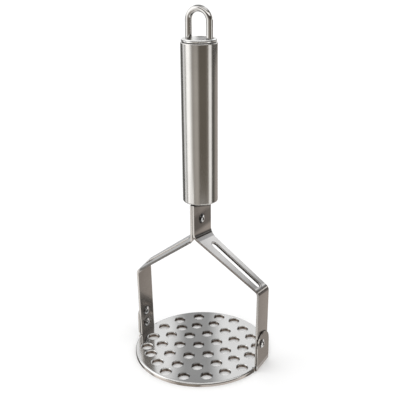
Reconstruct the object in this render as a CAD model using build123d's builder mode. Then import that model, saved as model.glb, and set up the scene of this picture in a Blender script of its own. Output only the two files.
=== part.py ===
from build123d import *
import math
import os

# A stainless potato masher: a tubular handle with a hanging loop, two bent strap arms
# riveted back to back at the neck, and a round plate of flanged holes between their feet.
# Millimetres, +Z up. The origin is on the floor, on the handle's axis, under the plate.
# The arms spread along X and the straps' width lies along Y.

# Mash plate: one stamped sheet, its rim turned down and folded back up into two ears
plate_diameter = 101.2
plate_height = 3.0
sheet_thickness = 1.5
rim_radius = 1.4
rim_inner_radius = 0.4
ear_standoff = 0.9
ear_width = 19.4
ear_height = 27.8
ear_fold_radius = 2.0
ear_relief = 1.2
ear_root = 3.0

# Mash holes: a centre hole and three uneven rings. Each hole is placed by a share of the
# plate's radius and a share of a full turn.
hole_diameter_share = 0.083
hole_lip_radius = 0.7
collar_wall = 0.7
collar_lift = 0.4
hole_radius_shares = (
    (0.05,),
    (0.335, 0.35, 0.276, 0.392, 0.238, 0.327, 0.331),
    (0.606, 0.533, 0.625, 0.58, 0.54, 0.615, 0.627, 0.513, 0.534, 0.636, 0.565, 0.595, 0.559),
    (0.785, 0.829, 0.791, 0.788, 0.865, 0.852, 0.814, 0.797, 0.846)
    + (0.772, 0.83, 0.781, 0.782, 0.865, 0.865, 0.837, 0.821, 0.804),
)
hole_turn_shares = (
    (0.582,),
    (0.574, 0.737, 0.884, 0.008, 0.129, 0.287, 0.427),
    (0.573, 0.652, 0.734, 0.812, 0.894, 0.969, 0.053, 0.122, 0.209, 0.281, 0.352, 0.419, 0.492),
    (0.53, 0.586, 0.626, 0.677, 0.728, 0.781, 0.843, 0.898, 0.95)
    + (0.015, 0.068, 0.121, 0.176, 0.228, 0.277, 0.339, 0.401, 0.463),
)

# Strap arms: two like straps, the left one turned half round about the handle's axis.
# Their folds slant a little, so each arm stands a little to one side of the handle's axis.
strap_thickness = 1.8
arm_width = 17.4
arm_offset = 2.4
foot_offset = 0.8
waist_reach = 10.2
waist_drop = 3.5
neck_width = 24.8
shoulder_height = 61.3
slope_rise = 34.7
neck_length = 26.0
fold_slant = 8.5
neck_bend_radius = 5.5
shoulder_bend_radius = 3.3
blank_corner_radius = 3.0
slot_width = 6.0
slot_lip_radius = 0.5
slot_from_neck = 9.6
slot_from_shoulder = 3.8
tang_width = 14.0
tang_length = 46.0
neck_gap = 0.4

# Handle tube, its lower end turned in round the neck
handle_diameter = 25.0
handle_wall = 0.8
handle_length = 111.2
handle_end_radius = 0.6
handle_turn_radius = 1.4
handle_lip_width = 2.5

# End cap
cap_bead_inset = 0.5
cap_bead_height = 2.4
cap_sheet = 0.9
cap_face_recess = 0.35
cap_skirt_length = 8.0

# Hanging loop, bent from round wire
wire_diameter = 4.4
loop_margin = 0.65
loop_rise = 21.6
loop_leg_depth = 20.0
loop_hole_clearance = 0.15

# Plugs inside the tube
plug_clearance = 0.05
lower_plug_length = 40.0
lower_plug_inset = 2.6
upper_plug_length = 24.0
tang_clearance = 0.1
pin_diameter = 4.0
pin_end_gap = 0.7
pin_height_share = 0.55

# Rivets with a domed head on each side
rivet_shank = 4.0
rivet_head_diameter = 7.0
rivet_head_height = 1.7
neck_rivet_share = 0.492
left_rivet_shares = (0.403, 0.777)
right_rivet_share = 0.73
foot_rivet_offset = 2.6
neck_rivet_offset = 1.6

# One overrun serves every cut, and one small tolerance every selection
overrun = 5.0
tolerance = 0.001

# Sizes worked out from the ones above
plate_radius = plate_diameter / 2
hole_radius = plate_radius * hole_diameter_share
ear_outer = plate_radius + ear_standoff
ear_inner = ear_outer - sheet_thickness
arm_outer = ear_inner
arm_inner = arm_outer - strap_thickness
arm_far = arm_offset + arm_width / 2
arm_near = arm_offset - arm_width / 2
foot_far = foot_offset + arm_width / 2
foot_near = foot_offset - arm_width / 2
neck_fold_height = shoulder_height + slope_rise
handle_bottom = neck_fold_height + neck_length
neck_rivet_height = neck_fold_height + neck_length * neck_rivet_share
left_rivet_heights = [ear_height * share for share in left_rivet_shares]
right_rivet_height = ear_height * right_rivet_share
handle_radius = handle_diameter / 2
handle_bore = handle_radius - handle_wall
handle_top = handle_bottom + handle_length
slant = math.radians(fold_slant)
slant_share = math.cos(slant)
slope_run = arm_outer - strap_thickness
slope_fall = slope_rise * slant_share
slope_angle = math.atan2(slope_fall, slope_run)
slope_drop = strap_thickness / math.cos(slope_angle) - strap_thickness * math.tan(slope_angle)
arm_foot = plate_height
tang_top = handle_bottom + lower_plug_inset + tang_length
wire_radius = wire_diameter / 2
cap_face = handle_top + cap_bead_height - cap_face_recess
cap_skirt_radius = handle_bore - plug_clearance
cap_bead_radius = handle_radius - cap_bead_inset
loop_radius = cap_skirt_radius - cap_sheet - wire_radius - loop_margin
pin_length = 2 * (handle_bore - pin_end_gap)
lower_plug_bottom = handle_bottom + lower_plug_inset
pin_height = lower_plug_bottom + lower_plug_length * pin_height_share

os.makedirs("parts", exist_ok=True)


def save(builder, name):
    builder.part.label = name
    export_step(builder.part, "parts/" + name + ".step")


# Domed rivet along X, gripping the stack between two X values
def make_rivet(grip_start, grip_end, offset, height):
    head_radius = rivet_head_diameter / 2
    dome_radius = (head_radius**2 + rivet_head_height**2) / (2 * rivet_head_height)
    shank_radius = rivet_shank / 2
    with BuildPart() as rivet:
        with BuildSketch(Plane.XZ.offset(offset)):
            with BuildLine():
                Line((grip_start - rivet_head_height, height), (grip_end + rivet_head_height, height))
                RadiusArc(
                    (grip_end + rivet_head_height, height),
                    (grip_end, height + head_radius),
                    -dome_radius,
                )
                Line((grip_end, height + head_radius), (grip_end, height + shank_radius))
                Line((grip_end, height + shank_radius), (grip_start, height + shank_radius))
                Line((grip_start, height + shank_radius), (grip_start, height + head_radius))
                RadiusArc(
                    (grip_start, height + head_radius),
                    (grip_start - rivet_head_height, height),
                    -dome_radius,
                )
            make_face()
        revolve(axis=Axis((0, -offset, height), (1, 0, 0)))
    return rivet


# Round hole along X on one side of the handle's axis
def cross_hole(side, offset, height, diameter):
    with BuildSketch(Plane.YZ) as hole:
        with Locations((-offset, height)):
            Circle(diameter / 2)
    extrude(hole.sketch, amount=side * (ear_outer + overrun), mode=Mode.SUBTRACT)


# Place on the blank's outline where a slanted fold crosses it, in the front view
def fold_corner(offset, height):
    return (offset, height - offset * math.tan(slant))


# The strap's side view gives its folds, and the front view its blank's outline
with BuildPart() as strap:
    with BuildSketch(Plane((0, 0, 0), x_dir=(1, 0, 0), z_dir=(0, -math.cos(slant), math.sin(slant)))):
        with BuildLine():
            FilletPolyline(
                (0, tang_top + overrun),
                (0, neck_fold_height * slant_share - slope_drop),
                (arm_inner, shoulder_height * slant_share - slope_drop),
                (arm_inner, -overrun),
                radius=(neck_bend_radius + strap_thickness, shoulder_bend_radius),
            )
            offset(amount=strap_thickness, side=Side.LEFT, kind=Kind.INTERSECTION)
        make_face()
    extrude(amount=neck_width + tang_top * math.sin(slant), both=True)

    neck_top = handle_bottom - neck_gap
    with BuildSketch(Plane.YZ) as outline:
        with BuildLine():
            Polyline(
                (foot_far, arm_foot),
                fold_corner(arm_far, shoulder_height),
                fold_corner(waist_reach, neck_fold_height - waist_drop),
                fold_corner(neck_width / 2, neck_fold_height),
                (neck_width / 2, neck_top),
                (tang_width / 2, neck_top),
                (tang_width / 2, tang_top),
                (-tang_width / 2, tang_top),
                (-tang_width / 2, neck_top),
                (-neck_width / 2, neck_top),
                fold_corner(-neck_width / 2, neck_fold_height),
                fold_corner(arm_near, shoulder_height),
                (foot_near, arm_foot),
                close=True,
            )
        make_face()
        blank_corners = outline.vertices().filter_by(
            lambda corner: arm_foot + tolerance < corner.Y < neck_top - tolerance
        )
        fillet(blank_corners, radius=blank_corner_radius)
    extrude(amount=arm_outer + overrun, mode=Mode.INTERSECT)

    # Long slot down the middle of the slope
    slope_start = Vector(strap_thickness, 0, neck_fold_height)
    slope_end = Vector(arm_outer, *fold_corner(arm_offset, shoulder_height))
    slope_line = slope_end - slope_start
    fold_line = Vector(0, math.cos(slant), -math.sin(slant))
    slope_plane = Plane(slope_start, x_dir=slope_line, z_dir=slope_line.cross(fold_line))
    with BuildSketch(slope_plane):
        with Locations(((slope_line.length + slot_from_neck - slot_from_shoulder) / 2, 0)):
            SlotOverall(slope_line.length - slot_from_neck - slot_from_shoulder, slot_width)
    extrude(amount=2 * strap_thickness, both=True, mode=Mode.SUBTRACT)
    fillet(strap.edges(Select.LAST).filter_by(slope_plane), radius=slot_lip_radius)

with BuildPart() as left_arm:
    add(strap.part, rotation=(0, 0, 180))
    for height in left_rivet_heights:
        cross_hole(-1, foot_rivet_offset, height, rivet_shank)
    cross_hole(-1, neck_rivet_offset, neck_rivet_height, rivet_shank)
    cross_hole(-1, 0, pin_height, pin_diameter)
save(left_arm, "left_arm")

with BuildPart() as right_arm:
    add(strap.part)
    cross_hole(1, foot_rivet_offset, right_rivet_height, rivet_shank)
    cross_hole(1, neck_rivet_offset, neck_rivet_height, rivet_shank)
    cross_hole(1, 0, pin_height, pin_diameter)
save(right_arm, "right_arm")

# Mash plate: the rimmed disc
with BuildPart() as mash_plate:
    with BuildSketch(Plane.XZ) as rim_profile:
        with BuildLine():
            Polyline(
                (0, plate_height - sheet_thickness),
                (0, plate_height),
                (plate_radius, plate_height),
                (plate_radius, 0),
                (plate_radius - sheet_thickness, 0),
                (plate_radius - sheet_thickness, plate_height - sheet_thickness),
                close=True,
            )
        make_face()
        rim_corners = rim_profile.vertices().group_by(Axis.X)
        fillet(rim_corners[-1].sort_by(Axis.Y)[-1], radius=rim_radius)
        fillet(rim_corners[-2].sort_by(Axis.Y)[-1], radius=rim_inner_radius)
    revolve(axis=Axis.Z)

    # Reliefs cut through the rim on both sides of each ear
    with BuildSketch(Plane.XY):
        for side in (1, -1):
            with Locations(
                (plate_radius - (ear_root - overrun) / 2, side * (ear_width + ear_relief) / 2),
                (-plate_radius + (ear_root - overrun) / 2, side * (ear_width + ear_relief) / 2),
            ):
                Rectangle(ear_root + overrun, ear_relief)
    extrude(amount=plate_height, mode=Mode.SUBTRACT)

    # Ears: the rim's sheet folds back up outside the arms, to a fully rounded top
    rim_middle = plate_radius - sheet_thickness / 2
    ear_fold_start = math.sqrt(rim_middle**2 - (ear_width / 2) ** 2)
    ear_shoulder = ear_height - ear_width / 2
    for side in (1, -1):
        with BuildSketch(Plane.XZ) as ear_section:
            with BuildLine():
                Polyline(
                    (side * ear_fold_start, 0),
                    (side * ear_outer, 0),
                    (side * ear_outer, ear_shoulder),
                    (side * ear_inner, ear_shoulder),
                    (side * ear_inner, sheet_thickness),
                    (side * ear_fold_start, sheet_thickness),
                    close=True,
                )
            make_face()
            fold_corners = ear_section.vertices().group_by(Axis.Y)[0]
            fillet(fold_corners.sort_by(Axis.X)[-1 if side > 0 else 0], radius=ear_fold_radius)
        extrude(amount=ear_width / 2, both=True)
        with BuildSketch(Plane.YZ.offset(side * ear_inner)):
            with Locations((0, ear_shoulder)):
                Circle(ear_width / 2)
        extrude(amount=side * sheet_thickness)

    # Mash holes, each with a collar turned down under the sheet
    hole_places = [
        Vector(math.cos(turn * math.tau), math.sin(turn * math.tau)) * plate_radius * share
        for ring_shares, ring_turns in zip(hole_radius_shares, hole_turn_shares)
        for share, turn in zip(ring_shares, ring_turns)
    ]
    with BuildSketch(Plane.XY.offset(collar_lift)):
        with Locations(*hole_places):
            Circle(hole_radius + collar_wall)
    extrude(amount=plate_height - collar_lift - sheet_thickness / 2)
    with BuildSketch(Plane.XY):
        with Locations(*hole_places):
            Circle(hole_radius)
    extrude(amount=plate_height, mode=Mode.SUBTRACT)
    hole_edges = (
        mash_plate.edges()
        .filter_by(GeomType.CIRCLE)
        .filter_by_position(Axis.Z, plate_height - tolerance, plate_height + tolerance)
        .filter_by(lambda edge: math.isclose(edge.radius, hole_radius, abs_tol=tolerance))
    )
    fillet(hole_edges, radius=hole_lip_radius)

    for height in left_rivet_heights:
        cross_hole(-1, foot_rivet_offset, height, rivet_shank)
    cross_hole(1, foot_rivet_offset, right_rivet_height, rivet_shank)
save(mash_plate, "mash_plate")

# Rivets
neck_rivet = make_rivet(-strap_thickness, strap_thickness, neck_rivet_offset, neck_rivet_height)
save(neck_rivet, "neck_rivet")
left_lower_rivet = make_rivet(-ear_outer, -arm_inner, foot_rivet_offset, left_rivet_heights[0])
save(left_lower_rivet, "left_lower_rivet")
left_upper_rivet = make_rivet(-ear_outer, -arm_inner, foot_rivet_offset, left_rivet_heights[1])
save(left_upper_rivet, "left_upper_rivet")
right_rivet = make_rivet(arm_inner, ear_outer, foot_rivet_offset, right_rivet_height)
save(right_rivet, "right_rivet")

# Handle tube: rounded over at the top, its lower end turned in to a lip
with BuildPart() as handle_tube:
    with BuildSketch(Plane.XZ) as tube_wall:
        with BuildLine():
            Polyline(
                (handle_radius, handle_top),
                (handle_radius, handle_bottom),
                (handle_radius - handle_lip_width, handle_bottom),
                (handle_radius - handle_lip_width, handle_bottom + handle_wall),
                (handle_bore, handle_bottom + handle_wall),
                (handle_bore, handle_top),
                close=True,
            )
        make_face()
        wall_corners = tube_wall.vertices()
        outer_corners = wall_corners.group_by(Axis.X)[-1].sort_by(Axis.Y)
        bore_corners = wall_corners.group_by(Axis.X)[-2].sort_by(Axis.Y)
        fillet(outer_corners[-1], radius=handle_end_radius)
        fillet(outer_corners[0], radius=handle_turn_radius)
        fillet(bore_corners[0], radius=handle_turn_radius - handle_wall)
    revolve(axis=Axis.Z)
save(handle_tube, "handle_tube")

# End cap: a flat face inside a rolled bead, and a skirt pressed into the tube
bead_radius = cap_bead_height / 2
bead_centre = (cap_bead_radius - bead_radius, handle_top + bead_radius)
bead_inner_x = bead_centre[0] - math.sqrt(
    bead_radius**2 - (cap_face - bead_centre[1]) ** 2
)
bead_lower_z = bead_centre[1] - math.sqrt(
    bead_radius**2 - (cap_skirt_radius - bead_centre[0]) ** 2
)
with BuildPart() as end_cap:
    with BuildSketch(Plane.XZ):
        with BuildLine():
            Polyline(
                (bead_inner_x, cap_face),
                (0, cap_face),
                (0, cap_face - cap_sheet),
                (cap_skirt_radius - cap_sheet, cap_face - cap_sheet),
                (cap_skirt_radius - cap_sheet, handle_top - cap_skirt_length),
                (cap_skirt_radius, handle_top - cap_skirt_length),
                (cap_skirt_radius, bead_lower_z),
            )
            ThreePointArc(
                (cap_skirt_radius, bead_lower_z),
                (
                    bead_centre[0] + bead_radius * math.cos(math.pi / 4),
                    bead_centre[1] + bead_radius * math.sin(math.pi / 4),
                ),
                (bead_inner_x, cap_face),
            )
        make_face()
    revolve(axis=Axis.Z)
    with BuildSketch(Plane.XY.offset(cap_face)):
        with Locations((loop_radius, 0), (-loop_radius, 0)):
            Circle(wire_radius + loop_hole_clearance)
    extrude(amount=-cap_skirt_length, mode=Mode.SUBTRACT)
save(end_cap, "end_cap")

# Hanging loop: two legs through the cap and a half-round top
loop_shoulder = cap_face + loop_rise - loop_radius - wire_radius
with BuildPart() as hanging_loop:
    with BuildLine(Plane.XZ):
        Line((-loop_radius, cap_face - loop_leg_depth), (-loop_radius, loop_shoulder))
        ThreePointArc(
            (-loop_radius, loop_shoulder),
            (0, loop_shoulder + loop_radius),
            (loop_radius, loop_shoulder),
        )
        Line((loop_radius, loop_shoulder), (loop_radius, cap_face - loop_leg_depth))
    with BuildSketch(Plane.XY.offset(cap_face - loop_leg_depth)):
        with Locations((-loop_radius, 0)):
            Circle(wire_radius)
    sweep()
save(hanging_loop, "hanging_loop")

# Upper plug: holds the loop's legs under the cap
with BuildPart() as upper_plug:
    with BuildSketch(Plane.XY.offset(cap_face - cap_sheet)):
        Circle(cap_skirt_radius - cap_sheet - plug_clearance)
        with Locations((loop_radius, 0), (-loop_radius, 0)):
            Circle(wire_radius + plug_clearance, mode=Mode.SUBTRACT)
    extrude(amount=-upper_plug_length)
save(upper_plug, "upper_plug")

# Lower plug: pressed into the tube, with a slot for the two tangs and a cross bore
with BuildPart() as lower_plug:
    with BuildSketch(Plane.XY.offset(lower_plug_bottom)):
        Circle(handle_bore - plug_clearance)
        Rectangle(
            2 * (strap_thickness + tang_clearance),
            tang_width + 2 * tang_clearance,
            mode=Mode.SUBTRACT,
        )
    extrude(amount=lower_plug_length)
    with BuildSketch(Plane.YZ):
        with Locations((0, pin_height)):
            Circle(pin_diameter / 2)
    extrude(amount=handle_radius, both=True, mode=Mode.SUBTRACT)
save(lower_plug, "lower_plug")

# Tang pin: crosses the plug and both tangs inside the tube
with BuildPart() as tang_pin:
    with BuildSketch(Plane.YZ):
        with Locations((0, pin_height)):
            Circle(pin_diameter / 2)
    extrude(amount=pin_length / 2, both=True)
save(tang_pin, "tang_pin")
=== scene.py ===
import math

import bmesh
import bpy
from mathutils import Matrix


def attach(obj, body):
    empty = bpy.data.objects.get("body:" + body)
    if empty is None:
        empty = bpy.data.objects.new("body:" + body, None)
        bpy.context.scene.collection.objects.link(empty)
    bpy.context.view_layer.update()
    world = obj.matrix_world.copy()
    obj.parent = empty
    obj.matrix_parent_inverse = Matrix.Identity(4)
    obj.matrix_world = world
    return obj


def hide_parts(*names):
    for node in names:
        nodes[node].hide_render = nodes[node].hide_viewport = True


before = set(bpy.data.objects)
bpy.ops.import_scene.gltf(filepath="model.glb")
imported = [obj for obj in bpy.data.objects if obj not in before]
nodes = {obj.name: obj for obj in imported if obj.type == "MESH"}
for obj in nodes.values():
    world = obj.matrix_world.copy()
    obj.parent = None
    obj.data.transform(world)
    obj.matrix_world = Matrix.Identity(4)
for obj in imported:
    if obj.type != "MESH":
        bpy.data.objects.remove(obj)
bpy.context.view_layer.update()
mm = 0.001  # the scene is in metres, the sizes below are in millimetres
alongX, alongY, alongZ = (1, 0, 0), (0, 1, 0), (0, 0, 1)
print("frame loaded,", len(nodes), "nodes")


# small helpers for node trees
def newTree(material):
    material.use_nodes = True
    return material.node_tree.nodes, material.node_tree.links.new


def mathNode(made, operation, *values):
    node = made.new("ShaderNodeMath")
    node.operation = operation
    for place, value in enumerate(values):
        if value is not None:
            node.inputs[place].default_value = value
    return node


def vectorNode(made, operation):
    node = made.new("ShaderNodeVectorMath")
    node.operation = operation
    return node


def rangeNode(made, fromMin, fromMax, toMin=0.0, toMax=1.0):
    node = made.new("ShaderNodeMapRange")
    node.inputs["From Min"].default_value = fromMin
    node.inputs["From Max"].default_value = fromMax
    node.inputs["To Min"].default_value = toMin
    node.inputs["To Max"].default_value = toMax
    return node


def mixColour(made, first=None, second=None, blend="MIX"):
    node = made.new("ShaderNodeMix")
    node.data_type = "RGBA"
    node.blend_type = blend
    if first:
        node.inputs["A"].default_value = (*first, 1)
    if second:
        node.inputs["B"].default_value = (*second, 1)
    return node


# a colour ramp with stops at (share, colour)
def newRamp(made, stops):
    node = made.new("ShaderNodeValToRGB")
    elements = node.color_ramp.elements
    while len(elements) > 1:
        elements.remove(elements[-1])
    for place, (share, colour) in enumerate(stops):
        stop = elements.new(share) if place else elements[0]
        stop.position = share
        stop.color = (*colour, 1)
    return node


def newGroup(name, takes, gives):
    group = bpy.data.node_groups.new(name, "ShaderNodeTree")
    for label, kind in takes:
        group.interface.new_socket(label, in_out="INPUT", socket_type="NodeSocket" + kind)
    for label, kind in gives:
        group.interface.new_socket(label, in_out="OUTPUT", socket_type="NodeSocket" + kind)
    made = group.nodes
    return group, made, group.links.new, made.new("NodeGroupInput"), made.new("NodeGroupOutput")


grain = {"detail": 4.0, "roughness": 0.65, "patchDetail": 2.0}


# brushed grain: fine lines along one direction and a slow change of tone
def makeGrainGroup():
    takes = (("Vector", "Vector"), ("Stretch", "Vector"), ("Patch Size", "Float"))
    gives = (("Lines", "Float"), ("Tone", "Float"))
    group, made, link, inputs, outputs = newGroup("brushedGrain", takes, gives)
    stretch = vectorNode(made, "MULTIPLY")
    link(inputs.outputs["Vector"], stretch.inputs[0])
    link(inputs.outputs["Stretch"], stretch.inputs[1])
    lines = made.new("ShaderNodeTexNoise")
    lines.inputs["Scale"].default_value = 1.0
    lines.inputs["Detail"].default_value = grain["detail"]
    lines.inputs["Roughness"].default_value = grain["roughness"]
    link(stretch.outputs[0], lines.inputs["Vector"])
    patch = made.new("ShaderNodeTexNoise")
    patch.inputs["Detail"].default_value = grain["patchDetail"]
    link(inputs.outputs["Vector"], patch.inputs["Vector"])
    link(inputs.outputs["Patch Size"], patch.inputs["Scale"])
    link(lines.outputs["Fac"], outputs.inputs["Lines"])
    link(patch.outputs["Fac"], outputs.inputs["Tone"])
    return group


marks = {"detail": 3.0, "distortion": 0.6, "smudgeRange": (0.45, 0.75), "scratchWidth": 0.03}


# handling marks: soft smudges and a few hair scratches
def makeMarksGroup():
    takes = (("Vector", "Vector"), ("Smudge Size", "Float"), ("Scratch Stretch", "Vector"))
    gives = (("Smudge", "Float"), ("Scratch", "Float"))
    group, made, link, inputs, outputs = newGroup("handlingMarks", takes, gives)
    smudge = made.new("ShaderNodeTexNoise")
    smudge.inputs["Detail"].default_value = marks["detail"]
    smudge.inputs["Distortion"].default_value = marks["distortion"]
    link(inputs.outputs["Vector"], smudge.inputs["Vector"])
    link(inputs.outputs["Smudge Size"], smudge.inputs["Scale"])
    smudgeRange = rangeNode(made, *marks["smudgeRange"])
    link(smudge.outputs["Fac"], smudgeRange.inputs["Value"])
    stretch = vectorNode(made, "MULTIPLY")
    link(inputs.outputs["Vector"], stretch.inputs[0])
    link(inputs.outputs["Scratch Stretch"], stretch.inputs[1])
    scratch = made.new("ShaderNodeTexVoronoi")
    scratch.feature = "DISTANCE_TO_EDGE"
    scratch.inputs["Scale"].default_value = 1.0
    link(stretch.outputs[0], scratch.inputs["Vector"])
    scratchRange = rangeNode(made, 0.0, marks["scratchWidth"], 1.0, 0.0)
    link(scratch.outputs["Distance"], scratchRange.inputs["Value"])
    link(smudgeRange.outputs["Result"], outputs.inputs["Smudge"])
    link(scratchRange.outputs["Result"], outputs.inputs["Scratch"])
    return group


fades = {  # millimetres in which a shade ends
    "fanRim": 0.4,
    "paintedRingDepth": 0.4,
    "slotWall": 0.1,
    "bores": 0.3,
}


# a painted reflection on a turned face, the light fan of its brushing: 0 in a dark stripe, 1 to both sides
# of it and past the face
def makePaintedFanGroup():
    takes = (
        ("Vector", "Vector"),
        ("Side", "Vector"),  # direction across the stripe
        ("Shift", "Float"),
        ("Middle Width", "Float"),
        ("Spread", "Float"),  # how much wider the stripe gets outwards
        ("Dark Until", "Float"),
        ("Light From", "Float"),
        ("Outer Radius", "Float"),
    )
    group, made, link, inputs, outputs = newGroup("paintedReflectionFan", takes, (("Fan", "Float"),))
    flat = vectorNode(made, "MULTIPLY")
    flat.inputs[1].default_value = (1, 1, 0)
    link(inputs.outputs["Vector"], flat.inputs[0])
    across = vectorNode(made, "DOT_PRODUCT")
    link(flat.outputs[0], across.inputs[0])
    link(inputs.outputs["Side"], across.inputs[1])
    shifted = mathNode(made, "ADD")
    link(across.outputs["Value"], shifted.inputs[0])
    link(inputs.outputs["Shift"], shifted.inputs[1])
    away = mathNode(made, "ABSOLUTE")
    link(shifted.outputs[0], away.inputs[0])
    reach = vectorNode(made, "LENGTH")
    link(flat.outputs[0], reach.inputs[0])
    width = mathNode(made, "MULTIPLY_ADD")
    link(reach.outputs["Value"], width.inputs[0])
    link(inputs.outputs["Spread"], width.inputs[1])
    link(inputs.outputs["Middle Width"], width.inputs[2])
    share = mathNode(made, "DIVIDE")
    link(away.outputs[0], share.inputs[0])
    link(width.outputs[0], share.inputs[1])
    fan = rangeNode(made, 0, 1)
    fan.interpolation_type = "SMOOTHSTEP"
    link(share.outputs[0], fan.inputs["Value"])
    link(inputs.outputs["Dark Until"], fan.inputs["From Min"])
    link(inputs.outputs["Light From"], fan.inputs["From Max"])
    # past the face's rim all is light
    past = mathNode(made, "SUBTRACT")
    link(reach.outputs["Value"], past.inputs[0])
    link(inputs.outputs["Outer Radius"], past.inputs[1])
    rim = rangeNode(made, 0, fades["fanRim"] * mm)
    link(past.outputs[0], rim.inputs["Value"])
    both = mathNode(made, "MAXIMUM")
    link(fan.outputs["Result"], both.inputs[0])
    link(rim.outputs["Result"], both.inputs[1])
    link(both.outputs[0], outputs.inputs["Fan"])
    return group


# a painted shade ring round a part that is set on a strap, standing in for the shade between the parts, and
# also painted dark rings and spots of reflection on rivet heads: 1 at its outline, 0 further out
def makePaintedRingGroup():
    takes = (
        ("Vector", "Vector"),
        ("Centre", "Vector"),
        ("Radius", "Float"),
        ("Drop", "Float"),  # 0 for sides that run straight down, 1 for a full circle
        ("Width", "Float"),  # below 0 the shade lies outside the radius
        ("Depth", "Float"),
    )
    group, made, link, inputs, outputs = newGroup("paintedShadeRing", takes, (("Seam", "Float"),))
    away = vectorNode(made, "SUBTRACT")
    link(inputs.outputs["Vector"], away.inputs[0])
    link(inputs.outputs["Centre"], away.inputs[1])
    parts = made.new("ShaderNodeSeparateXYZ")
    link(away.outputs[0], parts.inputs[0])
    under = mathNode(made, "MULTIPLY", None, -1)
    link(inputs.outputs["Drop"], under.inputs[0])
    up = mathNode(made, "MAXIMUM")
    link(parts.outputs["Z"], up.inputs[0])
    link(under.outputs[0], up.inputs[1])
    flat = made.new("ShaderNodeCombineXYZ")
    link(parts.outputs["Y"], flat.inputs["Y"])
    link(up.outputs[0], flat.inputs["Z"])
    reach = vectorNode(made, "LENGTH")
    link(flat.outputs[0], reach.inputs[0])
    end = mathNode(made, "ADD")
    link(inputs.outputs["Radius"], end.inputs[0])
    link(inputs.outputs["Width"], end.inputs[1])
    paintedRing = rangeNode(made, 0, 1, 1.0, 0.0)
    paintedRing.interpolation_type = "SMOOTHSTEP"
    link(reach.outputs["Value"], paintedRing.inputs["Value"])
    link(inputs.outputs["Radius"], paintedRing.inputs["From Min"])
    link(end.outputs[0], paintedRing.inputs["From Max"])
    # only near the part, not on the far side of a bend
    near = mathNode(made, "ABSOLUTE")
    link(parts.outputs["X"], near.inputs[0])
    far = mathNode(made, "ADD", None, fades["paintedRingDepth"] * mm)
    link(inputs.outputs["Depth"], far.inputs[0])
    close = rangeNode(made, 0, 1, 1.0, 0.0)
    link(near.outputs[0], close.inputs["Value"])
    link(inputs.outputs["Depth"], close.inputs["From Min"])
    link(far.outputs[0], close.inputs["From Max"])
    both = mathNode(made, "MULTIPLY")
    link(paintedRing.outputs["Result"], both.inputs[0])
    link(close.outputs["Result"], both.inputs[1])
    link(both.outputs[0], outputs.inputs["Seam"])
    return group


# how far a point lies from a slot's middle line, above 0 on the side that Across points to,
# and its height over the face, below 0 in the slot
def makeSlotGroup():
    takes = (
        ("Vector", "Vector"),
        ("Middle", "Vector"),
        ("Along", "Vector"),
        ("Across", "Vector"),
        ("Half Length", "Float"),
    )
    gives = (("Reach", "Float"), ("Height", "Float"))
    group, made, link, inputs, outputs = newGroup("slotReach", takes, gives)
    away = vectorNode(made, "SUBTRACT")
    link(inputs.outputs["Vector"], away.inputs[0])
    link(inputs.outputs["Middle"], away.inputs[1])

    def part(direction):  # the share of a point's place that lies along a direction
        share = vectorNode(made, "DOT_PRODUCT")
        link(away.outputs[0], share.inputs[0])
        link(direction, share.inputs[1])
        return share.outputs["Value"]

    straight = mathNode(made, "ABSOLUTE")
    link(part(inputs.outputs["Along"]), straight.inputs[0])
    beyond = mathNode(made, "SUBTRACT")
    link(straight.outputs[0], beyond.inputs[0])
    link(inputs.outputs["Half Length"], beyond.inputs[1])
    past = mathNode(made, "MAXIMUM", None, 0)
    link(beyond.outputs[0], past.inputs[0])
    sideways = part(inputs.outputs["Across"])
    flat = made.new("ShaderNodeCombineXYZ")
    link(past.outputs[0], flat.inputs["X"])
    link(sideways, flat.inputs["Y"])
    reach = vectorNode(made, "LENGTH")
    link(flat.outputs[0], reach.inputs[0])
    sign = mathNode(made, "SIGN")
    link(sideways, sign.inputs[0])
    signed = mathNode(made, "MULTIPLY")
    link(reach.outputs["Value"], signed.inputs[0])
    link(sign.outputs[0], signed.inputs[1])
    link(signed.outputs[0], outputs.inputs["Reach"])
    up = vectorNode(made, "CROSS_PRODUCT")
    link(inputs.outputs["Along"], up.inputs[0])
    link(inputs.outputs["Across"], up.inputs[1])
    link(part(up.outputs[0]), outputs.inputs["Height"])
    return group


grainGroup = makeGrainGroup()
marksGroup = makeMarksGroup()
paintedFanGroup = makePaintedFanGroup()
paintedRingGroup = makePaintedRingGroup()
slotGroup = makeSlotGroup()
print("node groups made")


# a colour times a shade
def darken(made, link, colour, shade):
    times = mixColour(made, blend="MULTIPLY")
    times.inputs["Factor"].default_value = 1.0
    link(colour, times.inputs["A"])
    link(shade, times.inputs["B"])
    return times.outputs["Result"]


# the lighter one of two shades
def lighter(made, link, first, second):
    either = mixColour(made, blend="LIGHTEN")
    either.inputs["Factor"].default_value = 1.0
    link(first, either.inputs["A"])
    link(second, either.inputs["B"])
    return either.outputs["Result"]


# painted shade and light over a distance, in millimetres
def lineRamp(made, link, reach, stops):
    low, high = stops[0][0], stops[-1][0]
    share = rangeNode(made, low * mm, high * mm)
    link(reach, share.inputs["Value"])
    placed = []
    for where, shade in stops:
        colour = shade if isinstance(shade, tuple) else (shade, shade, shade)
        placed.append(((where - low) / (high - low), colour))
    ramp = newRamp(made, placed)
    link(share.outputs["Result"], ramp.inputs["Fac"])
    return ramp.outputs["Color"]


# the same along one direction
def shadeRamp(made, link, coords, direction, stops):
    along = vectorNode(made, "DOT_PRODUCT")
    along.inputs[1].default_value = direction
    link(coords.outputs["Object"], along.inputs[0])
    return lineRamp(made, link, along.outputs["Value"], stops)


steel = {
    "smudgeShare": 0.35,  # how much smudges add to the roughness
    "relief": 0.05,
    "cutEdge": (0.55, 0.8),  # how squarely a face looks along Y to count as a cut edge
}


# a ramp's shade where a mask is 1, nothing where it is 0
def maskedShade(made, link, mask, shade):
    masked = mixColour(made, (1, 1, 1))
    link(mask, masked.inputs["Factor"])
    link(shade, masked.inputs["B"])
    return masked.outputs["Result"]


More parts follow.
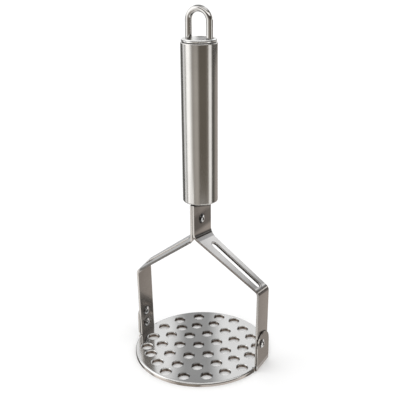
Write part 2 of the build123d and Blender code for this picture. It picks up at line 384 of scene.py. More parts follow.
# how far a point lies from the handle's axis
def axisReach(made, link, coords):
    flat = vectorNode(made, "MULTIPLY")
    flat.inputs[1].default_value = (1, 1, 0)
    link(coords.outputs["Object"], flat.inputs[0])
    reach = vectorNode(made, "LENGTH")
    link(flat.outputs[0], reach.inputs[0])
    return reach.outputs["Value"]


# one stainless finish: colour, roughness and bump all change over the surface
def makeSteel(name, finish):
    material = bpy.data.materials.new(name)
    made, link = newTree(material)
    shader = made["Principled BSDF"]
    shader.inputs["Metallic"].default_value = 1.0
    coords = made.new("ShaderNodeTexCoord")
    brushed = made.new("ShaderNodeGroup")
    brushed.node_tree = grainGroup
    brushed.inputs["Stretch"].default_value = finish["grain"]
    brushed.inputs["Patch Size"].default_value = finish["patch"]
    if finish.get("turned"):  # the lines run in rings round the axis
        parts = made.new("ShaderNodeSeparateXYZ")
        link(coords.outputs["Object"], parts.inputs[0])
        rings = made.new("ShaderNodeCombineXYZ")
        link(axisReach(made, link, coords), rings.inputs["X"])
        link(parts.outputs["Z"], rings.inputs["Z"])
        link(rings.outputs[0], brushed.inputs["Vector"])
    else:
        link(coords.outputs["Object"], brushed.inputs["Vector"])
    handled = made.new("ShaderNodeGroup")
    handled.node_tree = marksGroup
    handled.inputs["Smudge Size"].default_value = finish["smudge"]
    handled.inputs["Scratch Stretch"].default_value = finish["scratch"]
    link(coords.outputs["Object"], handled.inputs["Vector"])
    tone = mathNode(made, "MULTIPLY_ADD", None, finish["lineTone"])
    link(brushed.outputs["Lines"], tone.inputs[0])
    link(brushed.outputs["Tone"], tone.inputs[2])
    colour = mixColour(made, finish["dark"], finish["light"])
    link(tone.outputs[0], colour.inputs["Factor"])
    last = colour.outputs["Result"]
    # painted reflection: a dark stripe with light to its sides
    if finish.get("fan"):  # the light and dark parts of a turned face
        turned = finish["fan"]
        fan = made.new("ShaderNodeGroup")
        fan.node_tree = paintedFanGroup
        side = math.radians(turned["side"])
        fan.inputs["Side"].default_value = (math.cos(side), math.sin(side), 0)
        fan.inputs["Shift"].default_value = turned["shift"] * mm
        fan.inputs["Middle Width"].default_value = turned["middle"] * mm
        fan.inputs["Spread"].default_value = turned["spread"]
        fan.inputs["Dark Until"].default_value = turned["darkUntil"]
        fan.inputs["Light From"].default_value = turned["lightFrom"]
        fan.inputs["Outer Radius"].default_value = turned["outer"] * mm
        link(coords.outputs["Object"], fan.inputs["Vector"])
        wedge = mixColour(made, turned["dim"], (1, 1, 1))
        link(fan.outputs["Fan"], wedge.inputs["Factor"])
        last = darken(made, link, last, wedge.outputs["Result"])
    # painted shade rings: shade between parts and dark reflections on rivet heads
    for centre, radius, drop, width, depth, dark in finish.get("paintedRings", ()):
        paintedRing = made.new("ShaderNodeGroup")
        paintedRing.node_tree = paintedRingGroup
        paintedRing.inputs["Centre"].default_value = [c * mm for c in centre]
        paintedRing.inputs["Radius"].default_value = radius * mm
        paintedRing.inputs["Drop"].default_value = drop
        paintedRing.inputs["Width"].default_value = width * mm
        paintedRing.inputs["Depth"].default_value = depth * mm
        link(coords.outputs["Object"], paintedRing.inputs["Vector"])
        shade = mixColour(made, (1, 1, 1), dark)
        link(paintedRing.outputs["Seam"], shade.inputs["Factor"])
        last = darken(made, link, last, shade.outputs["Result"])
    # painted dark lines beside a slot and painted highlight and shade down its walls
    if finish.get("slot"):  # the lines beside a slot and the shades down its walls
        slot = finish["slot"]
        around = made.new("ShaderNodeGroup")
        around.node_tree = slotGroup
        around.inputs["Middle"].default_value = [c * mm for c in slot["middle"]]
        around.inputs["Along"].default_value = slot["along"]
        around.inputs["Across"].default_value = slot["across"]
        around.inputs["Half Length"].default_value = slot["half"] * mm
        link(coords.outputs["Object"], around.inputs["Vector"])
        lines = lineRamp(made, link, around.outputs["Reach"], slot["lines"])
        last = darken(made, link, last, lines)
        straight = mathNode(made, "ABSOLUTE")
        link(around.outputs["Reach"], straight.inputs[0])
        wallsEnd = (slot["wallsTo"] + fades["slotWall"]) * mm
        inSlot = rangeNode(made, slot["wallsTo"] * mm, wallsEnd, 1.0, 0.0)
        link(straight.outputs[0], inSlot.inputs["Value"])
        walls = lineRamp(made, link, around.outputs["Height"], slot["walls"])
        last = darken(made, link, last, maskedShade(made, link, inSlot.outputs["Result"], walls))
    plain = last
    # painted shade and highlight along directions
    for direction, stops in finish.get("shades", ()):
        last = darken(made, link, last, shadeRamp(made, link, coords, direction, stops))
    # painted shade and reflection on the cut edges
    if finish.get("edgeShades"):  # the cut edges, which face along Y, have shades of their own
        edgeShade = None
        for direction, stops in finish["edgeShades"]:
            ramp = shadeRamp(made, link, coords, direction, stops)
            edgeShade = lighter(made, link, edgeShade, ramp) if edgeShade else ramp
        edged = darken(made, link, plain, edgeShade)
        geometry = made.new("ShaderNodeNewGeometry")
        across = vectorNode(made, "DOT_PRODUCT")
        across.inputs[1].default_value = alongY
        link(geometry.outputs["Normal"], across.inputs[0])
        squarely = mathNode(made, "ABSOLUTE")
        link(across.outputs["Value"], squarely.inputs[0])
        cut = rangeNode(made, *steel["cutEdge"])
        link(squarely.outputs[0], cut.inputs["Value"])
        faceOrEdge = mixColour(made)
        link(cut.outputs["Result"], faceOrEdge.inputs["Factor"])
        link(last, faceOrEdge.inputs["A"])
        link(edged, faceOrEdge.inputs["B"])
        last = faceOrEdge.outputs["Result"]
    # painted shade down the walls of the holes inside a radius
    if finish.get("bores"):  # the walls of the holes inside a radius
        bores = finish["bores"]
        boresEnd = (bores["radius"] + fades["bores"]) * mm
        bored = rangeNode(made, bores["radius"] * mm, boresEnd, 1.0, 0.0)
        link(axisReach(made, link, coords), bored.inputs["Value"])
        walls = shadeRamp(made, link, coords, alongZ, bores["shades"])
        last = darken(made, link, last, maskedShade(made, link, bored.outputs["Result"], walls))
    link(last, shader.inputs["Base Color"])
    roughMix = mathNode(made, "MULTIPLY_ADD", None, steel["smudgeShare"])
    link(handled.outputs["Smudge"], roughMix.inputs[0])
    link(brushed.outputs["Lines"], roughMix.inputs[2])
    rough = rangeNode(made, 0.0, 1.0, *finish["rough"])
    link(roughMix.outputs[0], rough.inputs["Value"])
    link(rough.outputs["Result"], shader.inputs["Roughness"])
    relief = mathNode(made, "MULTIPLY_ADD", None, -finish["scratchDepth"])
    link(handled.outputs["Scratch"], relief.inputs[0])
    link(brushed.outputs["Lines"], relief.inputs[2])
    bump = made.new("ShaderNodeBump")
    bump.inputs["Strength"].default_value = finish["bump"]
    bump.inputs["Distance"].default_value = steel["relief"] * mm
    link(relief.outputs[0], bump.inputs["Height"])
    link(bump.outputs["Normal"], shader.inputs["Normal"])
    return material


meshing = {
    "mergeNew": 0.002,  # vertices closer than this become one
    "mergeCopied": 0.003,
    "ringSlack": 0.01,  # how exactly an edge has to lie on a ring that is rounded
    "flatWeight": 80,
}


# a bmesh becomes a finished piece that stands for a CAD node
def finishPiece(bm, name, material, node, sharp=32, fresh=True):
    if fresh:
        bmesh.ops.remove_doubles(bm, verts=bm.verts, dist=meshing["mergeNew"] * mm)
        bmesh.ops.recalc_face_normals(bm, faces=bm.faces)
    for edge in bm.edges:
        if len(edge.link_faces) == 2:
            edge.smooth = edge.calc_face_angle(0) < math.radians(sharp)
    for face in bm.faces:
        face.smooth = True
    mesh = bpy.data.meshes.new(name)
    bm.to_mesh(mesh)
    bm.free()
    piece = bpy.data.objects.new(name, mesh)
    bpy.context.scene.collection.objects.link(piece)
    mesh.materials.append(material)
    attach(piece, "root")
    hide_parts(node)
    return piece


# a merged copy of a CAD node's mesh, left as it is but for its edges
def copyNode(node):
    bm = bmesh.new()
    bm.from_mesh(nodes[node].data)
    bmesh.ops.remove_doubles(bm, verts=bm.verts, dist=meshing["mergeCopied"] * mm)
    return bm


def softenEdges(piece, width, segments, angle):
    bevel = piece.modifiers.new("softEdges", "BEVEL")
    bevel.width = width * mm
    bevel.segments = segments
    bevel.limit_method = "ANGLE"
    bevel.angle_limit = math.radians(angle)
    bevel.harden_normals = True
    weighted = piece.modifiers.new("flatFaces", "WEIGHTED_NORMAL")
    weighted.keep_sharp = True
    weighted.weight = meshing["flatWeight"]


# a closed outline of (radius, height) places, spun round the handle's axis
def spinOutline(bm, places, steps):
    verts = [bm.verts.new((radius * mm, 0, height * mm)) for radius, height in places]
    edges = [bm.edges.new((a, b)) for a, b in zip(verts, verts[1:] + verts[:1])]
    bmesh.ops.spin(
        bm,
        geom=verts + edges,
        axis=alongZ,
        cent=(0, 0, 0),
        angle=2 * math.pi,
        steps=steps,
        use_merge=True,
    )
    bmesh.ops.remove_doubles(bm, verts=bm.verts, dist=meshing["mergeNew"] * mm)


# rounds the edges that lie on one ring of a turned piece
def roundRing(bm, radius, height, amount, segments):
    def onRing(vert):
        up, out = vert.co.z / mm - height, vert.co.xy.length / mm - radius
        return abs(up) < meshing["ringSlack"] and abs(out) < meshing["ringSlack"]

    bmesh.ops.bevel(
        bm,
        geom=[edge for edge in bm.edges if all(onRing(vert) for vert in edge.verts)],
        offset=amount * mm,
        offset_type="OFFSET",
        affect="EDGES",
        segments=segments,
        profile=0.5,
        material=-1,
    )


handle = {
    "radius": 12.5,
    "wall": 0.8,
    "bottom": 122.0,
    "top": 233.2,
    "topRound": 0.6,
    "topSegments": 5,
    "turnRound": 1.4,
    "turnSegments": 8,
    "innerSegments": 4,
    "lip": 2.5,
    "steps": 160,
    "finish": {
        "dark": (0.55, 0.535, 0.515),
        "light": (0.66, 0.645, 0.625),
        "rough": (0.12, 0.2),
        "grain": (4200, 4200, 40),
        "patch": 60,
        "smudge": 90,
        "scratch": (900, 900, 60),
        "lineTone": 0.3,
        "scratchDepth": 0.02,
        "bump": 0.05,
    },
}


def makeHandle():
    bm = bmesh.new()
    outer, bore = handle["radius"], handle["radius"] - handle["wall"]
    mouth = outer - handle["lip"]
    top, bottom, inside = handle["top"], handle["bottom"], handle["bottom"] + handle["wall"]
    innerRound = handle["turnRound"] - handle["wall"]
    places = [
        (outer, top),
        (outer, bottom),
        (mouth, bottom),
        (mouth, inside),
        (bore, inside),
        (bore, top),
    ]
    spinOutline(bm, places, handle["steps"])
    roundRing(bm, outer, top, handle["topRound"], handle["topSegments"])
    roundRing(bm, outer, bottom, handle["turnRound"], handle["turnSegments"])
    roundRing(bm, bore, inside, innerRound, handle["innerSegments"])
    satin = makeSteel("satinHandle", handle["finish"])
    finishPiece(bm, "handleTube", satin, "handle_tube", sharp=50)


makeHandle()
print("handle made")

endCap = {
    "finish": {
        "dark": (0.82, 0.815, 0.80),
        "light": (0.94, 0.935, 0.92),
        "rough": (0.1, 0.2),
        "grain": (5000, 1, 300),
        "patch": 120,
        "smudge": 200,
        "scratch": (500, 500, 500),
        "lineTone": 0.35,
        "scratchDepth": 0.02,
        "bump": 0.12,
        "turned": True,
        # painted reflection: one side of the cap's face painted dark
        "fan": {
            "side": 209,  # degrees
            "shift": 12.5,
            "middle": 10,
            "spread": 0,
            "darkUntil": 1.2,
            "lightFrom": 1.6,
            "outer": 9.9,
            "dim": (0.06, 0.06, 0.06),
        },
        # painted shade: dark lines where the cap meets the tube and under its bead
        "shades": (
            (alongZ, ((233, 0.12), (233.7, 0.12), (234, 1))),
            (alongZ, ((234.4, 1), (234.7, 0.35), (235, 0.35), (235.2, 1))),
        ),
    },
}
turnedCap = makeSteel("turnedCap", endCap["finish"])
finishPiece(copyNode("end_cap"), "endCap", turnedCap, "end_cap", sharp=40, fresh=False)
print("end cap made")

hangingLoop = {
    "wire": 4.4,
    "spacing": 15.8,
    "foot": 215.25,
    "shoulder": 246.75,
    "sides": 32,
    "archSteps": 40,
    "finish": {
        "dark": (0.54, 0.525, 0.51),
        "light": (0.66, 0.65, 0.635),
        "rough": (0.04, 0.1),
        "grain": (300, 300, 300),
        "patch": 150,
        "smudge": 200,
        "scratch": (400, 400, 400),
        "lineTone": 0.1,
        "scratchDepth": 0.02,
        "bump": 0.02,
        # painted shade at the feet of the wire and a painted dark reflection along the top of the arch
        "shades": ((alongZ, ((235, 0.35), (236.6, 1.0), (255.5, 1.0), (256.2, 0.3))),),
    },
}


# draws faces out along Z and gives the faces at their end
def stretchFaces(bm, faces, rise):
    drawn = bmesh.ops.extrude_face_region(bm, geom=faces)["geom"]
    moved = [part for part in drawn if isinstance(part, bmesh.types.BMVert)]
    bmesh.ops.translate(bm, verts=moved, vec=(0, 0, rise))
    return [part for part in drawn if isinstance(part, bmesh.types.BMFace)]


def makeLoop():
    half = hangingLoop["spacing"] / 2
    rise = (hangingLoop["shoulder"] - hangingLoop["foot"]) * mm
    bm = bmesh.new()
    start = bmesh.ops.create_circle(
        bm,
        cap_ends=True,
        segments=hangingLoop["sides"],
        radius=hangingLoop["wire"] / 2 * mm,
        matrix=Matrix.Translation((-half * mm, 0, hangingLoop["foot"] * mm)),
    )
    shoulder = stretchFaces(bm, [start["verts"][0].link_faces[0]], rise)
    arch = bmesh.ops.spin(
        bm,
        geom=shoulder,
        axis=alongY,
        cent=(0, 0, hangingLoop["shoulder"] * mm),
        angle=math.pi,
        steps=hangingLoop["archSteps"],
    )
    archEnd = [part for part in arch["geom_last"] if isinstance(part, bmesh.types.BMFace)]
    stretchFaces(bm, archEnd, -rise)
    inner = [face for face in shoulder + archEnd if face.is_valid]
    bmesh.ops.delete(bm, geom=inner, context="FACES_ONLY")
    polished = makeSteel("polishedWire", hangingLoop["finish"])
    finishPiece(bm, "hangingLoop", polished, "hanging_loop", sharp=50)


makeLoop()
print("hanging loop made")

rivets = {
    "shank": 4.0,
    "head": 7.0,
    "dome": 1.7,
    "rings": 10,
    "steps": 48,
    "places": (  # name, node, grip start, grip end, y, height, shades
        ("neckRivet", "neck_rivet", -1.8, 1.8, -1.6, 108.8, "neckShades"),
        ("leftLowerRivet", "left_lower_rivet", -51.5, -48.2, -2.6, 11.2, "leftShades"),
        ("leftUpperRivet", "left_upper_rivet", -51.5, -48.2, -2.6, 21.6, "leftShades"),
        ("rightRivet", "right_rivet", 48.2, 51.5, -2.6, 20.3, "rightShades"),
    ),
    # painted reflection on a head, dark rings and spots, from its middle: y, z, radius, width, shade
    "neckShades": ((0.5, -0.4, 3.0, -0.4, 0.1), (-0.6, -0.2, 0.5, 0.6, 0.1)),
    "leftShades": ((0.1, 0, 3.2, -0.4, 0.15), (-1.9, 0.2, 0.5, 0.8, 0.3)),
    "rightShades": ((0.2, 0, 3.3, -0.3, 0.1), (-0.3, -0.7, 0.5, 0.7, 0.08)),
    "shadeDepth": 10,  # the shades reach both heads
    "finish": {
        "dark": (0.6, 0.6, 0.6),
        "light": (0.75, 0.75, 0.75),
        "rough": (0.06, 0.14),
        "grain": (900, 900, 900),
        "patch": 300,
        "smudge": 400,
        "scratch": (900, 900, 900),
        "lineTone": 0.1,
        "scratchDepth": 0.02,
        "bump": 0.04,
    },
}


# a rivet lies along X, with a dome on each side of what it grips
def makeRivet(name, node, gripStart, gripEnd, across, height, shades):
    headRadius, rise = rivets["head"] / 2, rivets["dome"]
    ball = (headRadius**2 + rise**2) / (2 * rise)
    reach = math.asin(headRadius / ball)
    angles = [reach * ring / rivets["rings"] for ring in range(rivets["rings"] + 1)]
    dome = [(rise - ball + ball * math.cos(angle), ball * math.sin(angle)) for angle in angles]
    places = [(gripEnd + along, out) for along, out in dome]
    places += [(gripEnd, rivets["shank"] / 2), (gripStart, rivets["shank"] / 2)]
    places += [(gripStart - along, out) for along, out in reversed(dome)]
    bm = bmesh.new()
    verts = [bm.verts.new((along * mm, across * mm, (height + out) * mm)) for along, out in places]
    edges = [bm.edges.new((a, b)) for a, b in zip(verts, verts[1:])]
    bmesh.ops.spin(
        bm,
        geom=verts + edges,
        axis=alongX,
        cent=(0, across * mm, height * mm),
        angle=2 * math.pi,
        steps=rivets["steps"],
        use_merge=True,
    )
    middle = (gripStart + gripEnd) / 2
    paintedRings = []
    # painted dark reflection rings and spots on the head
    for side, up, radius, width, dark in rivets[shades]:
        centre = (middle, across + side, height + up)
        paintedRings.append((centre, radius, 1, width, rivets["shadeDepth"], (dark, dark, dark)))
    material = makeSteel(name + "Steel", dict(rivets["finish"], paintedRings=paintedRings))
    finishPiece(bm, name, material, node, sharp=40)


for place in rivets["places"]:
    makeRivet(*place)
print("rivets made")

acrossFolds = (0, 0.15, 1)  # the folds slant
# the slant of the painted shadow under the tube
underTube = (0, 0.29, 1)
# a painted shade ring round a rivet head on a strap: radius, 1 for a circle, width, depth, shade
rivetPaintedRing = (3.4, 1, 0.9, 0.6, (0.2, 0.18, 0.16))
straps = {
    "soft": 0.3,
    "segments": 3,
    "softFrom": 35,  # degrees between two faces
    "finish": {
        "dark": (0.46, 0.435, 0.41),
        "light": (0.60, 0.575, 0.55),
        "rough": (0.13, 0.2),
        "grain": (90, 4200, 90),
        "patch": 70,
        "smudge": 110,
        "scratch": (120, 900, 120),
        "lineTone": 0.3,
        "scratchDepth": 0.05,
        "bump": 0.1,
    },
    # painted shade round the rivets and the ear, where shade falls between the parts: centre, radius, 1 for
    # a circle or 0 for straight sides, width, depth, shade
    "leftPaintedRings": (
        ((-48.2, -2.6, 21.6), *rivetPaintedRing),
        ((-48.2, -2.6, 11.2), *rivetPaintedRing),
        ((-1.8, -1.6, 108.8), *rivetPaintedRing),
        ((-50, 0, 18.1), 9.7, 0, 1.3, 0.6, (0.1, 0.09, 0.08)),  # round the ear
    ),
    "rightPaintedRings": (
        ((1.8, -1.6, 108.8), *rivetPaintedRing),
        ((50, 0, 18.1), 9.7, 0, 1.2, 0.6, (0.06, 0.055, 0.05)),
    ),
    # the slot's border: its middle line, the painted dark lines beside it and the painted shade and
    # highlight down its walls
    "rightSlot": {
        "middle": (28.24, 1.32, 76.77),
        "along": (0.8081, 0.0401, -0.5877),
        "across": (-0.103, 0.9917, -0.0733),
        "half": 20.12,
        "lines": ((-4.3, 1), (-3.7, 0.62), (-2.9, 0.62), (0, 1), (3.3, 1), (3.45, 0.3), (4, 0.3), (4.2, 1)),
        "walls": ((-1.8, 0.3), (-0.8, 0.3), (-0.6, 1.5), (0, 1.5)),
        "wallsTo": 3.4,
    },
    # painted shade and highlight along a direction, standing in for reflections and the shade in the folds
    # and under the tube: millimetres and a factor
    "leftShades": (
        (alongZ, ((3, 0.4), (8, 0.6), (16, 0.95), (30, 1.0), (120.4, 1.0), (121.4, 0.3))),
        (alongY, ((-12, 0.9), (12, 1.05))),
    ),
    # painted shade and reflection on the cut edges, the lighter of the ramps
    "leftEdgeShades": (
        (alongX, ((-48.6, 1.0), (-46.5, 0.27), (-6, 0.27), (-3, 1.0))),
        (alongY, ((-8, 0.27), (-5, 1.0))),
    ),
    "rightShades": (
        (alongX, ((3.2, 1.0), (3.8, 0.5), (5, 0.5), (5.8, 1.0))),
        (alongX, ((20, 1.0), (32, 0.83), (38, 0.76), (43, 0.58), (46, 0.55), (47, 1.0))),
        (alongX, ((47.1, 1.0), (47.8, 0.33), (48.4, 0.33), (49.2, 1.0))),
        (alongY, ((-9, 0.86), (0, 1.0), (9, 1.08))),
        (alongZ, ((98, 1.0), (100, 1.0), (103, 0.45), (112, 0.45), (115, 0.8))),
        # painted shade in the two folds
        (acrossFolds, ((95.0, 1.0), (95.4, 0.07), (96.7, 0.1), (97.6, 0.6), (98.2, 1.0))),
        (acrossFolds, ((58.8, 1.0), (59.8, 0.35), (61.2, 0.35), (61.9, 1.0))),
        # painted shadow under the tube
        (underTube, ((117.0, 1.0), (117.7, 0.3))),
    ),
    "rightEdgeShades": ((alongY, ((-8, 1.0), (-5, 0.3))),),
}
for side in ("left", "right"):
    finish = dict(
        straps["finish"],
        shades=straps[side + "Shades"],
        edgeShades=straps[side + "EdgeShades"],
        paintedRings=straps[side + "PaintedRings"],
        slot=straps.get(side + "Slot"),
    )
    material = makeSteel(side + "StrapSteel", finish)
    node = side + "_arm"
    strap = finishPiece(copyNode(node), side + "Strap", material, node, fresh=False)
    softenEdges(strap, straps["soft"], straps["segments"], straps["softFrom"])
print("straps made")

plate = {
    "soft": 0.2,
    "segments": 2,
    "softFrom": 50,
    "finish": {
        "dark": (0.56, 0.56, 0.555),
        "light": (0.72, 0.72, 0.715),
        "rough": (0.1, 0.18),
        "grain": (3600, 1, 900),
        "patch": 45,
        "smudge": 70,
        "scratch": (90, 700, 300),
        "lineTone": 0.25,
        "scratchDepth": 0.03,
        "bump": 0.06,
        "turned": True,
        # painted reflection: a dark stripe across the turned face
        "fan": {
            "side": 29,  # degrees
            "shift": 4,
            "middle": 10,
            "spread": 0.03,
            "darkUntil": 0.65,
            "lightFrom": 2.1,
            "outer": 49.4,
            "dim": (0.38, 0.38, 0.38),
        },
        # painted shade: the rim below the face and the ears above it are darker and browner
        "shades": (
            (alongZ, ((1.8, (0.75, 0.69, 0.64)), (2.4, 1))),
            (alongZ, ((4, 1), (5, (0.66, 0.63, 0.6)))),
        ),
        # painted shade down the walls of the holes
        "bores": {
            "radius": 48.5,
            "shades": (
                (0, (0.6, 0.55, 0.5)),
                (0.8, (0.32, 0.28, 0.25)),
                (2.05, (0.22, 0.19, 0.17)),
                (2.28, 1),
            ),
        },
        # painted shade along the right ear's edge where it meets the strap
        "paintedRings": (((50.1, 0, 18.1), 9.6, 0, -0.8, 0.35, (0.15, 0.13, 0.12)),),  # on the right ear
    },
}
turnedPlate = makeSteel("turnedPlate", plate["finish"])
mashPlate = finishPiece(
    copyNode("mash_plate"), "mashPlate", turnedPlate, "mash_plate", fresh=False
)
softenEdges(mashPlate, plate["soft"], plate["segments"], plate["softFrom"])
print("plate made")

plugs = {
    "dark": (0.025, 0.024, 0.023),
    "light": (0.05, 0.048, 0.046),
    "rough": (0.45, 0.65),
    "speckle": 900,
    "detail": 3,
    "bump": 0.2,
    "relief": 0.1,
}


# the inner pieces keep their CAD shape
def makePlugPlastic():
    material = bpy.data.materials.new("mouldedPlug")
    made, link = newTree(material)
    shader = made["Principled BSDF"]
    coords = made.new("ShaderNodeTexCoord")
    speckle = made.new("ShaderNodeTexNoise")
    speckle.inputs["Scale"].default_value = plugs["speckle"]
    speckle.inputs["Detail"].default_value = plugs["detail"]
    link(coords.outputs["Object"], speckle.inputs["Vector"])
    colour = mixColour(made, plugs["dark"], plugs["light"])
    link(speckle.outputs["Fac"], colour.inputs["Factor"])
    link(colour.outputs["Result"], shader.inputs["Base Color"])
    rough = rangeNode(made, 0.0, 1.0, *plugs["rough"])
    link(speckle.outputs["Fac"], rough.inputs["Value"])
    link(rough.outputs["Result"], shader.inputs["Roughness"])
    bump = made.new("ShaderNodeBump")
    bump.inputs["Strength"].default_value = plugs["bump"]
    bump.inputs["Distance"].default_value = plugs["relief"] * mm
    link(speckle.outputs["Fac"], bump.inputs["Height"])
    link(bump.outputs["Normal"], shader.inputs["Normal"])
    return material


pin = {
    "finish": {
        "dark": (0.50, 0.50, 0.50),
        "light": (0.58, 0.58, 0.58),
        "rough": (0.3, 0.4),
        "grain": (600, 3000, 3000),
        "patch": 200,
        "smudge": 300,
        "scratch": (300, 300, 300),
        "lineTone": 0.2,
        "scratchDepth": 0.02,
        "bump": 0.1,
    },
}
innerPieces = {"upper_plug": makePlugPlastic(), "tang_pin": makeSteel("plainPin", pin["finish"])}
innerPieces["lower_plug"] = innerPieces["upper_plug"]
for node, material in innerPieces.items():
    nodes[node].data.materials.clear()
    nodes[node].data.materials.append(material)
print("inner pieces dressed")

floor = {"size": 6.0, "colour": (0.9, 0.9, 0.9), "rough": 0.9, "glow": 0.06}


# the floor takes shadows but isn't mirrored in the steel, which sees the room instead
def makeFloor():
    bm = bmesh.new()
    bmesh.ops.create_grid(bm, x_segments=1, y_segments=1, size=floor["size"] / 2)
    mesh = bpy.data.meshes.new("floor")
    bm.to_mesh(mesh)
    bm.free()
    ground = bpy.data.objects.new("floor", mesh)
    bpy.context.scene.collection.objects.link(ground)
    material = bpy.data.materials.new("paleFloor")
    made, link = newTree(material)
    shader = made["Principled BSDF"]
    shader.inputs["Base Color"].default_value = (*floor["colour"], 1)
    shader.inputs["Roughness"].default_value = floor["rough"]
    shader.inputs["Specular IOR Level"].default_value = 0.0
    shader.inputs["Emission Color"].default_value = (1, 1, 1, 1)
    shader.inputs["Emission Strength"].default_value = floor["glow"]
    clear = made.new("ShaderNodeBsdfTransparent")
    path = made.new("ShaderNodeLightPath")
    mix = made.new("ShaderNodeMixShader")
    link(path.outputs["Is Glossy Ray"], mix.inputs["Fac"])
    link(shader.outputs[0], mix.inputs[1])
    link(clear.outputs[0], mix.inputs[2])
    link(mix.outputs[0], made["Material Output"].inputs["Surface"])
    mesh.materials.append(material)


makeFloor()
print("floor made")

room = {
    "turn": 29.1,  # degrees, the camera's side as seen from the handle
    "seen": 1.0,  # what the camera sees behind the floor
    "even": 1.1,  # what lights the floor and the inner pieces
    "rise": (0, 7),  # degrees of height where the low bands turn into the high ones
    "topStart": 50,
    "topEnd": 64,
    "top": (1.0, 1.0, 1.0),
    # bands round the horizon: start in degrees from the camera's side, brightness, softness
    "lowBands": (
        (-180, (0.6, 0.62, 0.64), 3),
        (-160, (0.36, 0.36, 0.35), 4),
        (-146, (0.12, 0.12, 0.115), 4),
        (-119, (0.98, 0.98, 0.98), 6),
        (-99, (0.4, 0.4, 0.39), 4),
        (-90, (1.56, 1.56, 1.55), 7),
        (-55, (0.43, 0.41, 0.38), 22),
        (-34, (0.52, 0.49, 0.45), 8),
        (-7, (0.17, 0.15, 0.125), 13),
        (43, (0.24, 0.215, 0.185), 6),
        (58, (1.25, 1.24, 1.22), 8),
        (80, (0.11, 0.105, 0.095), 8),
        (108, (0.45, 0.41, 0.38), 24),
        (152, (0.9, 0.89, 0.88), 8),
    ),
    # soft boxes and dark corners higher up
    "highBands": (
        (-180, (1.0, 1.0, 1.0), 5),
        (-122, (1.7, 1.7, 1.7), 6),
        (-60, (0.1, 0.09, 0.08), 8),
        (100, (0.4, 0.38, 0.36), 8),
        (134, (1.18, 1.22, 1.27), 5),
        (158, (1.0, 1.0, 1.0), 6),
    ),
    # cards stood round the object: turn, half width, height, half height, softness, brightness
    "cards": (
        (130, 34, -3.2, 2.7, 1.8, (0.05, 0.048, 0.045)),
        (130, 34, 4, 4, 1.5, (1.8, 1.78, 1.75)),
        (132, 34, 12, 3, 2.5, (0.24, 0.23, 0.22)),
        (180, 8, 12, 5, 3, (0.75, 0.75, 0.75)),
        (-180, 8, 12, 5, 3, (0.75, 0.75, 0.75)),
        (120, 16, 43, 6, 3, (0.06, 0.06, 0.06)),
        (8, 64, 36, 10, 4, (1.6, 1.58, 1.55)),
        (-58, 14, -28, 5, 2, (1.25, 1.24, 1.22)),
        (-66, 22, -44, 8, 3, (0.35, 0.32, 0.3)),
        (35, 38, -40, 11, 3, (1.0, 0.99, 0.98)),
        (135, 45, -48, 11, 4, (1.0, 0.99, 0.98)),
        (0, 360, -75, 17, 6, (0.9, 0.89, 0.88)),
    ),
}


fullTurn, halfTurn = 360, 180
brightest = 2  # a ramp holds colours up to 1, so the bands are divided by this and multiplied again


# a ramp of bands with soft borders: it runs from -180 to 180 degrees, 0 looks back at the camera
def bandRamp(made, bands):
    ends = [(start, soft) for start, _, soft in bands[1:]] + [(halfTurn, 0)]
    stops = []
    for place, (start, colour, soft) in enumerate(bands):
        end, endSoft = ends[place]
        for angle in (start + soft / 2 if place else -halfTurn, end - endSoft / 2):
            stops.append(((angle + halfTurn) / fullTurn, [part / brightest for part in colour]))
    brighter = vectorNode(made, "SCALE")
    brighter.inputs["Scale"].default_value = brightest
    return newRamp(made, stops), brighter


# where one card covers the room: 1 inside, 0 outside
def makeCardGroup():
    ways = (("Turn", "Card Turn", "Half Width"), ("Height", "Card Height", "Half Height"))
    takes = [(label, "Float") for way in ways for label in way] + [("Softness", "Float")]
    group, made, link, inputs, outputs = newGroup("roomCard", takes, (("Mask", "Float"),))
    sides = []
    for place, middle, half in ways:
        away = mathNode(made, "SUBTRACT")
        link(inputs.outputs[place], away.inputs[0])
        link(inputs.outputs[middle], away.inputs[1])
        reach = mathNode(made, "ABSOLUTE")
        link(away.outputs[0], reach.inputs[0])
        inner = mathNode(made, "SUBTRACT")
        link(inputs.outputs[half], inner.inputs[0])
        link(inputs.outputs["Softness"], inner.inputs[1])
        outer = mathNode(made, "ADD")
        link(inputs.outputs[half], outer.inputs[0])
        link(inputs.outputs["Softness"], outer.inputs[1])
        cover = rangeNode(made, 0, 1, 1.0, 0.0)
        cover.interpolation_type = "SMOOTHSTEP"
        link(reach.outputs[0], cover.inputs["Value"])
        link(inner.outputs[0], cover.inputs["From Min"])
        link(outer.outputs[0], cover.inputs["From Max"])
        sides.append(cover.outputs["Result"])
    both = mathNode(made, "MULTIPLY")
    link(sides[0], both.inputs[0])
    link(sides[1], both.inputs[1])
    link(both.outputs[0], outputs.inputs["Mask"])
    return group


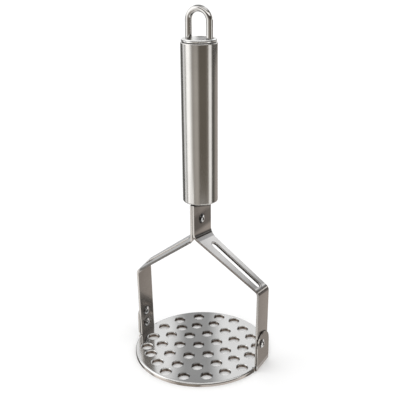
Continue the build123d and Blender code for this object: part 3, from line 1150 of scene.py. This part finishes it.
def makeRoom():
    world = bpy.data.worlds.new("studioRoom")
    bpy.context.scene.world = world
    made, link = newTree(world)
    coords = made.new("ShaderNodeTexCoord")
    parts = made.new("ShaderNodeSeparateXYZ")
    link(coords.outputs["Generated"], parts.inputs[0])
    front = mathNode(made, "MULTIPLY", None, -1)
    link(parts.outputs["Y"], front.inputs[0])
    swing = mathNode(made, "ARCTAN2")
    link(parts.outputs["X"], swing.inputs[0])
    link(front.outputs[0], swing.inputs[1])
    degrees = mathNode(made, "MULTIPLY_ADD", None, math.degrees(1), -room["turn"])
    link(swing.outputs[0], degrees.inputs[0])
    turn = mathNode(made, "WRAP", None, halfTurn, -halfTurn)
    link(degrees.outputs[0], turn.inputs[0])
    share = mathNode(made, "MULTIPLY_ADD", None, 1 / fullTurn, 0.5)
    link(turn.outputs[0], share.inputs[0])
    sloped = mathNode(made, "ARCSINE")
    link(parts.outputs["Z"], sloped.inputs[0])
    height = mathNode(made, "MULTIPLY", None, math.degrees(1))
    link(sloped.outputs[0], height.inputs[0])
    zones = []
    for bands in (room["lowBands"], room["highBands"]):
        ramp, brighter = bandRamp(made, bands)
        link(share.outputs[0], ramp.inputs["Fac"])
        link(ramp.outputs["Color"], brighter.inputs[0])
        zones.append(brighter.outputs[0])
    rise = rangeNode(made, *room["rise"])
    link(height.outputs[0], rise.inputs["Value"])
    walls = mixColour(made)
    link(rise.outputs["Result"], walls.inputs["Factor"])
    link(zones[0], walls.inputs["A"])
    link(zones[1], walls.inputs["B"])
    top = rangeNode(made, room["topStart"], room["topEnd"])
    link(height.outputs[0], top.inputs["Value"])
    roofed = mixColour(made, second=room["top"])
    link(top.outputs["Result"], roofed.inputs["Factor"])
    link(walls.outputs["Result"], roofed.inputs["A"])
    last = roofed.outputs["Result"]
    cardGroup = makeCardGroup()
    labels = ("Card Turn", "Half Width", "Card Height", "Half Height", "Softness")
    for *sizes, brightness in room["cards"]:
        card = made.new("ShaderNodeGroup")
        card.node_tree = cardGroup
        link(turn.outputs[0], card.inputs["Turn"])
        link(height.outputs[0], card.inputs["Height"])
        for label, size in zip(labels, sizes):
            card.inputs[label].default_value = size
        covered = mixColour(made, second=brightness)
        link(card.outputs["Mask"], covered.inputs["Factor"])
        link(last, covered.inputs["A"])
        last = covered.outputs["Result"]
    path = made.new("ShaderNodeLightPath")
    evenLight = mixColour(made, second=[room["even"]] * 3)
    link(path.outputs["Is Diffuse Ray"], evenLight.inputs["Factor"])
    link(last, evenLight.inputs["A"])
    behind = mixColour(made, second=[room["seen"]] * 3)
    link(path.outputs["Is Camera Ray"], behind.inputs["Factor"])
    link(evenLight.outputs["Result"], behind.inputs["A"])
    link(behind.outputs["Result"], made["Background"].inputs["Color"])


makeRoom()
bpy.context.scene.view_settings.view_transform = "Standard"
print("room made")

view = {
    "place": (0.23063, -0.41457, 0.30204),
    "turn": (69.454, -0.083, 27.327),
    "lens": 64.135,
    "sensor": 36,
    "shift": (-0.0534, -0.0078),
    "near": 0.01,
}
cameraData = bpy.data.cameras.new("camera")
camera = bpy.data.objects.new("camera", cameraData)
bpy.context.scene.collection.objects.link(camera)
camera.location = view["place"]
camera.rotation_euler = [math.radians(angle) for angle in view["turn"]]
cameraData.sensor_width = view["sensor"]
cameraData.lens = view["lens"]
cameraData.shift_x, cameraData.shift_y = view["shift"]
cameraData.clip_start = view["near"]
bpy.context.scene.camera = camera
print("camera placed")

print("scene ready")
